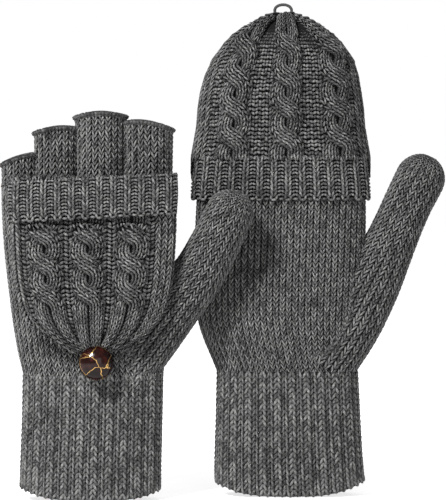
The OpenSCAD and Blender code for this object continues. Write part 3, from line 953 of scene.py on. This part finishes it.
# Wavy purl rows between and beside the cables
def purlStitches(knit, plan, leftEnd, rightEnd):
    cloth, spacing = plan.cloth, plan.style["spacing"]
    rows = int(round((plan.last - plan.first) / flapStyle["purlRise"]))
    v = plan.evenRows(rows)
    half = flapStyle["swing"] + 1.2 * flapStyle["wale"]
    tuck = 0.001
    strips = [(-leftEnd, -spacing - half + tuck), (-spacing + half - tuck, -half + tuck),
              (half - tuck, spacing - half + tuck), (spacing + half - tuck, rightEnd)]
    size = plan.narrow(v, 0.3)
    crease = smooth((0.82 - size) / 0.35)
    for left, right in strips:
        number = max(2, int(round((right - left) / flapStyle["purlWidth"])))
        for n in range(number):
            t = plan.style["shift"] + left + (n + 0.5) / number * (right - left)
            uu = np.full(rows, plan.frontU + t / plan.girth)
            across, along, out = cloth.turn(uu, v)
            lean = flapStyle["purlLean"] * (1 if n % 2 == 0 else -1)
            direction = unit(across + along * lean)
            reach = (right - left) / number * 0.66 * size
            beside = n in (0, number - 1)
            sink = (0.0005 if beside else 0.0) + crease * flapStyle["crease"]
            # Painted shade on the columns beside the cables and in the gathered crease, as well as sinking
            # them
            paintedShade = (0.8 if beside else 1.0) * (1 - 0.75 * crease)
            drift = knit.random.normal(0, flapStyle["purlDrift"], (rows, 1))
            knit.lobes(cloth.at(uu, v) - out * sink[:, None] + along * drift, direction, along, out, reach,
                       flapStyle["purlRise"] * 0.42, 0.0008, 0.4, paintedShade=paintedShade)


# Plain knit round the sides and over the back
def sideStitches(knit, plan, leftEnd, rightEnd):
    left = plan.frontU + (plan.style["shift"] + rightEnd) / plan.girth
    right = plan.frontU + 1 + (plan.style["shift"] - leftEnd) / plan.girth
    wales = int(round((right - left) * plan.girth / flapStyle["backWale"]))
    rows = int(round((plan.last - plan.first) / flapStyle["backCourse"]))
    plainStitches(knit, plan.cloth, wales, rows, start=left, finish=right, high=0.985)


# A raised chain of loops down one side
def chainStitches(knit, plan):
    cloth, length = plan.cloth, plan.last - plan.first
    courses = int(round(length / flapStyle["course"]))
    v = plan.evenRows(courses)
    for hand in (-1, 1):
        t = plan.style["shift"] + plan.style["chain"] + hand * 0.0009
        uu = plan.frontU + t / plan.girth + np.zeros(courses)
        across, along, out = cloth.turn(uu, v)
        knit.lobes(cloth.at(uu, v) + out * 0.0012, unit(along + across * hand * 0.42), across, out,
                   length / courses * 0.85, 0.00085 * plan.narrow(v, 0.6), 0.001, 0.5)


# The gathered tip
def crownStitches(knit, cloth):
    gathers = flapStyle["gathers"]
    around = np.linspace(0, 1, gathers, endpoint=False)
    crown = cloth.at(around, np.full(gathers, 0.995))
    tip = crown.mean(0)
    outward = unit(tip - cloth.at(around, np.full(gathers, 0.9)).mean(0))
    facing = outward[None] * np.ones((gathers, 1))
    knit.lobes((crown + tip) / 2 + outward * 0.0008, unit(tip - crown), facing, facing, 0.0042,
               0.0008, 0.0008, 0.3)


def makeFlap(glove):
    knit = Knit(glove.seed + 8)
    plan = FlapPlan(glove)
    knit.ground(plan.cloth, 52, 180, 0.0008, 0.0024)
    cableStitches(knit, plan)
    ends = plan.style["plain"] if plan.turned else plan.style["plain"][::-1]
    purlStitches(knit, plan, *ends)
    sideStitches(knit, plan, *ends)
    if plan.style["chain"]:
        chainStitches(knit, plan)
    crownStitches(knit, plan.cloth)
    nodes = [glove.node("flap_back"), glove.node("flap_front"), glove.node("crown_tie")]
    knit.build(glove.node("flap_knit"), glove.pocket(), nodes, glove.yarn)


for glove in gloves.values():
    makeFlap(glove)
print("flaps done")


# Ribbed bands

bandStyle = {
    "period": 0.00755,
    "relief": 0.0008,
    "rows": 8,
    "course": 0.00205,
    "wall": 0.0030,
    "foldedWidth": 0.95,
    "slant": 0.0045,
    "stand": 0.006,
    "keep": 0.2,
}


def makeBand(glove):
    knit = Knit(glove.seed + 9)
    low, high, size = spans(glove.node("flap_rib"))
    middleX = (low[0] + high[0]) / 2 + flapStyle["cables"][glove.side]["lean"]
    rows, cols = 40, 420
    turned = glove.side == "left"
    grid = np.zeros((rows, cols, 3))
    back = high[1]
    depth = size[1]
    ringX, ringY = (values[cols:] for values in ringPoints(size[0] / 2, depth, 2.6, 2 * cols))
    for r, s in enumerate(np.linspace(0, 1, rows)):
        if turned:
            puff = 1 + 0.012 * math.sin(math.pi * min(1, s * 1.1))
            z = high[2] - s * size[2]
            fold = 0.0024 * (1 - math.sqrt(max(0, 1 - (1 - min(1, s / 0.16)) ** 2)))
            grid[r, :, 0] = middleX + ringX * puff * bandStyle["foldedWidth"]
            grid[r, :, 1] = back + ringY + fold * smooth((-ringY / depth - 0.1) / 0.6)
            grid[r, :, 2] = z + (ringX / size[0]) * bandStyle["slant"]
        else:
            z = high[2] + 0.0015 - s * (size[2] + 0.0015)
            wide = 0.965 + 0.035 * smooth(s * 1.2)
            grid[r, :, 0] = middleX + ringX * wide
            grid[r, :, 1] = back + ringY * (1 + 0.03 * s)
            grid[r, :, 2] = z
    # The rows run from the free edge up to the flap on both, so the loops hang the same way
    grid = grid[::-1]
    cloth = Cloth(grid, False)
    girth = cloth.width(0.5)
    periods = int(round(girth / bandStyle["period"]))

    def ridge(u, v):
        wave = np.cos(2 * math.pi * (u * periods)) * 0.5 + 0.5
        return bandStyle["relief"] * (wave ** 0.7 - 1)

    cloth = cloth.raised(ridge)
    knit.ground(cloth, 18, 200, 0.0006, 0.0026)
    tall = cloth.length(0.5)
    number = bandStyle["rows"]
    for face, thick in ((1, 0.0), (-1, bandStyle["wall"])):
        i, j = np.meshgrid(np.arange(periods + 1), np.arange(number))
        i, j = i.ravel(), j.ravel()
        for sign in (-1, 1):
            u = (i + sign * 0.125) / periods
            v = 0.1 + (j + 0.5) / number * 0.9
            inside = (u > 0.02) & (u < 0.98)
            u, v = u[inside], v[inside]
            across, along, out = cloth.turn(u, v)
            direction = unit(along + across * sign * 0.36)
            knit.lobes(cloth.at(u, v) - out * thick, direction, across, out * face,
                       tall * 0.9 / number * 0.9, 0.00078, 0.0008, 0.5)
        purls = int(round(tall / bandStyle["course"]))
        i, j = np.meshgrid(np.arange(periods), np.arange(purls))
        i, j = i.ravel(), j.ravel()
        for place, sign in ((0.38, 1), (0.62, -1)):
            u = (i + place) / periods
            v = 0.08 + (j + 0.5) / purls * 0.92
            across, along, out = cloth.turn(u, v)
            direction = unit(across + along * sign * 0.5)
            knit.lobes(cloth.at(u, v) - out * (thick - 0.0002 * face), direction, along, out * face,
                       0.00125, 0.00072, 0.0007, 0.4)
    # Bind-off loops: a U under each rib
    i = np.arange(periods + 1)
    for place, lean, lower in ((-0.17, 0.25, 0.0), (0.17, -0.25, 0.0), (0.0, 0.0, 0.0011)):
        u = (i + place) / periods
        u = u[(u > 0.03) & (u < 0.97)]
        v = np.full(len(u), 0.055)
        across, along, out = cloth.turn(u, v)
        if lean:
            direction = unit(along - across * lean * 1.3)
            reach = 0.0017
        else:
            direction, reach = across, 0.0016
        knit.lobes(cloth.at(u, v) - along * lower + out * 0.0004, direction, across, out, reach,
                   0.00082, 0.0009, 0.3)
    u = (i[:-1] + 0.5) / periods
    v = np.full(len(u), 0.03)
    across, along, out = cloth.turn(u, v)
    knit.lobes(cloth.at(u, v) - out * 0.0003, across, along, out, 0.0019, 0.0008, 0.0008, 0.3)
    piece = knit.build(glove.node("rib_knit"), glove.node("rib"), [glove.node("flap_rib")],
                       glove.yarn)
    if not turned:
        # The closed flap's band: its hinge is read but not used, and the piece gets a mesh of its own
        hinge = jointList[glove.node("rib_turn")]["pos_m"]
        glove.node("rib_turn")
        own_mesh(piece)


for glove in gloves.values():
    makeBand(glove)
print("bands done")


# Buttons, threads, loops and seams

def glossMaterial():
    material, nodes, links, skin = newMaterial("tortoiseButton")
    place = nodes.new("ShaderNodeTexCoord").outputs["Object"]
    cloud = noiseNode(nodes, links, place, 210, 3, 0.6)
    base = rampNode(nodes, links, cloud, [(0.35, (0.003, 0.001, 0.001, 1)),
                                          (0.55, (0.01, 0.002, 0.0015, 1)),
                                          (0.75, (0.04, 0.007, 0.004, 1))])
    warp = nodes.new("ShaderNodeTexNoise")
    warp.inputs["Scale"].default_value = 160
    links.new(place, warp.inputs["Vector"])
    shift = nodes.new("ShaderNodeVectorMath")
    shift.operation = "MULTIPLY_ADD"
    shift.inputs[1].default_value = (0.006, 0.006, 0.006)
    links.new(warp.outputs["Color"], shift.inputs[0])
    links.new(place, shift.inputs[2])
    cells = nodes.new("ShaderNodeTexVoronoi")
    cells.feature = "DISTANCE_TO_EDGE"
    cells.inputs["Scale"].default_value = 105
    links.new(shift.outputs["Vector"], cells.inputs["Vector"])
    line = rampNode(nodes, links, cells.outputs["Distance"], [(0.009, (1, 1, 1, 1)), (0.02, (0, 0, 0, 1))])
    paint = nodes.new("ShaderNodeMix")
    paint.data_type = "RGBA"
    links.new(line, paint.inputs["Factor"])
    links.new(base, paint.inputs["A"])
    paint.inputs["B"].default_value = (0.62, 0.38, 0.13, 1)
    links.new(paint.outputs["Result"], skin.inputs["Base Color"])
    links.new(line, skin.inputs["Metallic"])
    wear = rampNode(nodes, links, cloud, [(0.3, grey(0.13)), (0.8, grey(0.28))])
    skin.inputs["IOR"].default_value = 1.27
    links.new(wear, skin.inputs["Roughness"])
    bumpNode(nodes, links, skin, line, 0.4, 0.0003)
    skin.inputs["Coat Weight"].default_value = 0.06
    skin.inputs["Coat Roughness"].default_value = 0.05
    return material


shade["button"] = glossMaterial()
shade["thread"] = yarnMaterial("darkThread", 0.03, 0.5)


# A round cord along a path, closed at both ends
def cordPiece(label, path, radius, body, nodes):
    sides = 12
    path = np.asarray(path, float)
    ahead = unit(np.gradient(path, axis=0))
    helper = np.array([0.0, 1, 0]) if abs(ahead[:, 1]).max() < 0.9 else np.array([0.31, 0.1, 1.0])
    side = unit(np.cross(ahead, helper))
    out = np.cross(side, ahead)
    angle = np.arange(sides) / sides * 2 * math.pi
    rings = path[:, None] + radius * (side[:, None] * np.cos(angle)[None, :, None]
                                      + out[:, None] * np.sin(angle)[None, :, None])
    rows = len(path)
    points = np.concatenate([rings.reshape(-1, 3), path[:1], path[-1:]])
    faces = []
    for r in range(rows - 1):
        for k in range(sides):
            m = (k + 1) % sides
            faces.append((r * sides + k, (r + 1) * sides + k, (r + 1) * sides + m, r * sides + m))
    for k in range(sides):
        m = (k + 1) % sides
        faces.append((k, m, rows * sides))
        faces.append(((rows - 1) * sides + m, (rows - 1) * sides + k, rows * sides + 1))
    mesh = bpy.data.meshes.new(label)
    mesh.from_pydata([tuple(p) for p in points], [], faces)
    mesh.polygons.foreach_set("use_smooth", np.ones(len(mesh.polygons), bool))
    strand = mesh.uv_layers.new(name="strand")
    index = np.zeros(len(mesh.loops), dtype=np.int32)
    mesh.loops.foreach_get("vertex_index", index)
    run = np.minimum(index // sides, rows - 1) * np.linalg.norm(path[1] - path[0]) / 0.003
    strand.data.foreach_set("uv", np.stack([run, (index % sides) / sides], 1).astype(np.float32).ravel())
    # A steady crown along the cord for the yarn finish's painted shade and highlight
    for name, value in (("tone", 0.5), ("crown", 0.7)):
        layer = mesh.attributes.new(name, "FLOAT", "POINT")
        layer.data.foreach_set("value", np.full(len(points), value, np.float32))
    mesh.materials.append(shade["thread"])
    placePiece(mesh, label, body, nodes)


trimStyle = {
    "threadTurns": 5,
    "threadRadius": 0.00036,
    "loopRadius": 0.00078,
    "seamStitch": 0.003,
}


def makeButton(glove):
    low, high, size = spans(glove.node("button_dome"))
    middle = (low + high) / 2
    back = high[1] if glove.side == "left" else low[1]
    bpy.ops.object.select_all(action="DESELECT")
    bpy.ops.mesh.primitive_uv_sphere_add(segments=64, ring_count=48, radius=size[0] / 2,
                                         location=(middle[0], back, middle[2]))
    dome = bpy.context.object
    dome.name = glove.node("button_dome_gloss")
    bpy.ops.object.mode_set(mode="EDIT")
    bpy.ops.mesh.select_all(action="SELECT")
    root = (middle[0], back, middle[2])
    bpy.ops.transform.rotate(value=math.pi / 2, orient_axis="X", center_override=root)
    bpy.ops.transform.resize(value=(1, size[1] / (size[0] / 2), 1), center_override=root)
    facing = (0, -1, 0) if glove.side == "left" else (0, 1, 0)
    bpy.ops.mesh.bisect(plane_co=root, plane_no=facing, clear_inner=True, use_fill=True)
    bpy.ops.mesh.select_all(action="SELECT")
    bpy.ops.mesh.normals_make_consistent(inside=False)
    bpy.ops.object.mode_set(mode="OBJECT")
    bpy.ops.object.modifier_add(type="BEVEL")
    dome.modifiers["Bevel"].width = size[1] * 0.09
    dome.modifiers["Bevel"].segments = 3
    dome.modifiers["Bevel"].limit_method = "ANGLE"
    bpy.ops.object.modifier_apply(modifier="Bevel")
    bpy.ops.object.shade_smooth_by_angle(angle=math.radians(40))
    bpy.ops.object.transform_apply(location=True, rotation=True, scale=True)
    dome.data.materials.append(shade["button"])
    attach(dome, glove.node("button"))
    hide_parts(glove.node("button_dome"))

    low, high, size = spans(glove.node("button_shank"))
    middle = (low + high) / 2
    bpy.ops.object.select_all(action="DESELECT")
    bpy.ops.mesh.primitive_cylinder_add(vertices=32, radius=size[0] / 2, depth=size[1],
                                        location=tuple(middle))
    shank = bpy.context.object
    shank.name = glove.node("button_shank_gloss")
    bpy.ops.object.mode_set(mode="EDIT")
    bpy.ops.mesh.select_all(action="SELECT")
    bpy.ops.transform.rotate(value=math.pi / 2, orient_axis="X", center_override=tuple(middle))
    bpy.ops.object.mode_set(mode="OBJECT")
    bpy.ops.object.transform_apply(location=True, rotation=True, scale=True)
    bpy.ops.object.shade_smooth_by_angle(angle=math.radians(40))
    shank.data.materials.append(shade["button"])
    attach(shank, glove.node("button"))
    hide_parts(glove.node("button_shank"))

    low, high, size = spans(glove.node("button_thread"))
    middle = (low + high) / 2
    turns = np.linspace(0, 2 * math.pi * trimStyle["threadTurns"], 240)
    radius = size[0] / 2 - 0.0004
    ring = np.stack([middle[0] + radius * np.cos(turns), low[1] + size[1] * (0.15 + 0.7 * turns / turns[-1]),
                     middle[2] + radius * np.sin(turns)], 1)
    cordPiece(glove.node("button_thread_wrap"), ring, trimStyle["threadRadius"], glove.node("glove"),
              [glove.node("button_thread")])


def makeLoop(glove):
    low, high, size = spans(glove.node("loop"))
    middle = (low + high) / 2
    cord = trimStyle["loopRadius"]
    turned = glove.side == "left"
    half = size[0] / 2 - cord
    if turned:
        angle = np.linspace(0, math.pi, 40)
        curve = np.stack([half * np.cos(angle), low[2] + half * 1.02 - half * np.sin(angle)], 1)
        top = high[2] + 0.001
    else:
        angle = np.linspace(-0.35, math.pi + 0.35, 60)
        curve = np.stack([half * np.cos(angle) + 0.0004 * np.sin(2 * angle),
                          high[2] - cord - half * 0.86 * (1 - np.sin(angle))], 1)
        top = low[2] - 0.0008
    right = np.array([[half * 0.55, top], [half * 0.8, (top + curve[0, 1]) / 2]])
    left = np.array([[-half * 0.8, (top + curve[-1, 1]) / 2], [-half * 0.55, top]])
    line = np.concatenate([right, curve, left])
    run = np.concatenate([[0], np.cumsum(np.linalg.norm(np.diff(line, axis=0), axis=1))])
    want = np.linspace(0, run[-1], 90)
    x, z = softTable(run, line[:, 0], want), softTable(run, line[:, 1], want)
    path = np.stack([middle[0] + x, np.full(90, middle[1]), z], 1)
    cordPiece(glove.node("loop_cord"), path, cord, glove.pocket(), [glove.node("loop")])


def makeSeam(glove):
    low, high, size = spans(glove.node("knuckle_seam"))
    knit = Knit(glove.seed + 12)
    facing = -1 if glove.side == "left" else 1
    number = int(size[0] / trimStyle["seamStitch"])
    x = low[0] + (np.arange(number) + 0.5) / number * size[0]
    middle = np.tile((low + high) / 2, (number, 1))
    middle[:, 0] = x
    sign = np.where(np.arange(number) % 2 == 0, 1.0, -1.0)
    along = np.stack([np.full(number, 0.8), np.zeros(number), sign * 0.5], 1)
    side = np.tile([0.0, 0, 1], (number, 1))
    out = np.tile([0.0, facing, 0], (number, 1))
    knit.lobes(middle, along, side, out, 0.0023, 0.0008, 0.0007, 0.2)
    knit.build(glove.node("knuckle_stitches"), glove.node("glove"), [glove.node("knuckle_seam")],
               [shade["thread"], shade["ground"]])


for glove in gloves.values():
    makeButton(glove)
    makeLoop(glove)
    makeSeam(glove)
print("trims done")


# Light, floor and camera

stageStyle = {
    "floorSeen": 0.6,
    "floorGlow": 0.12,
    "skyLight": 0.32,
    "lights": [("key_light", (-0.5, -0.75, 0.85), 0.25, 27), ("fill_light", (0.3, -1.6, 0.4), 0.8, 5)],
    "lens": 240,
    "elevation": 2,
    "margin": 1.012,
}


def makeStage():
    low, high = (np.array(corner) for corner in cadBox)
    middle = (low + high) / 2
    tall = high[2] - low[2]
    bpy.ops.mesh.primitive_plane_add(size=6, location=(0, 0, low[2] - 0.0004))
    floor = bpy.context.object
    floor.name = "pale_floor"
    material, nodes, links, skin = newMaterial("paleFloor")
    skin.inputs["Base Color"].default_value = (0.95, 0.95, 0.95, 1)
    skin.inputs["Roughness"].default_value = 0.9
    skin.inputs["Emission Color"].default_value = (1, 1, 1, 1)
    seen = nodes.new("ShaderNodeLightPath")
    glow = mathNode(nodes, links, "MULTIPLY", seen.outputs["Is Camera Ray"], stageStyle["floorSeen"])
    glow = mathNode(nodes, links, "ADD", glow, stageStyle["floorGlow"])
    links.new(glow, skin.inputs["Emission Strength"])
    floor.data.materials.append(material)
    world = bpy.data.worlds.new("studio")
    bpy.context.scene.world = world
    world.use_nodes = True
    nodes, links = world.node_tree.nodes, world.node_tree.links
    soft = nodes["Background"]
    soft.inputs["Color"].default_value = (1, 1, 1, 1)
    soft.inputs["Strength"].default_value = stageStyle["skyLight"]
    plain = nodes.new("ShaderNodeBackground")
    plain.inputs["Color"].default_value = (1, 1, 1, 1)
    seen = nodes.new("ShaderNodeLightPath")
    either = nodes.new("ShaderNodeMixShader")
    links.new(seen.outputs["Is Camera Ray"], either.inputs["Fac"])
    links.new(soft.outputs["Background"], either.inputs[1])
    links.new(plain.outputs["Background"], either.inputs[2])
    links.new(either.outputs["Shader"], nodes["World Output"].inputs["Surface"])
    for name, place, size, power in stageStyle["lights"]:
        light = bpy.data.lights.new(name, "AREA")
        light.energy = power
        light.size = size
        lamp = bpy.data.objects.new(name, light)
        bpy.context.collection.objects.link(lamp)
        lamp.location = place
        aim = Vector(middle) - lamp.location
        lamp.rotation_euler = aim.to_track_quat("-Z", "Y").to_euler()
    camera = bpy.data.cameras.new("camera")
    camera.lens = stageStyle["lens"]
    camera.sensor_width = 36
    eye = bpy.data.objects.new("camera", camera)
    bpy.context.collection.objects.link(eye)
    rise = math.radians(stageStyle["elevation"])
    away = tall * stageStyle["margin"] * camera.lens / camera.sensor_width
    eye.location = (middle[0], middle[1] - away * math.cos(rise), middle[2] + away * math.sin(rise))
    aim = Vector(middle) - eye.location
    eye.rotation_euler = aim.to_track_quat("-Z", "Y").to_euler()
    bpy.context.scene.camera = eye
    bpy.context.scene.view_settings.view_transform = "Standard"


makeStage()
print("stage done")
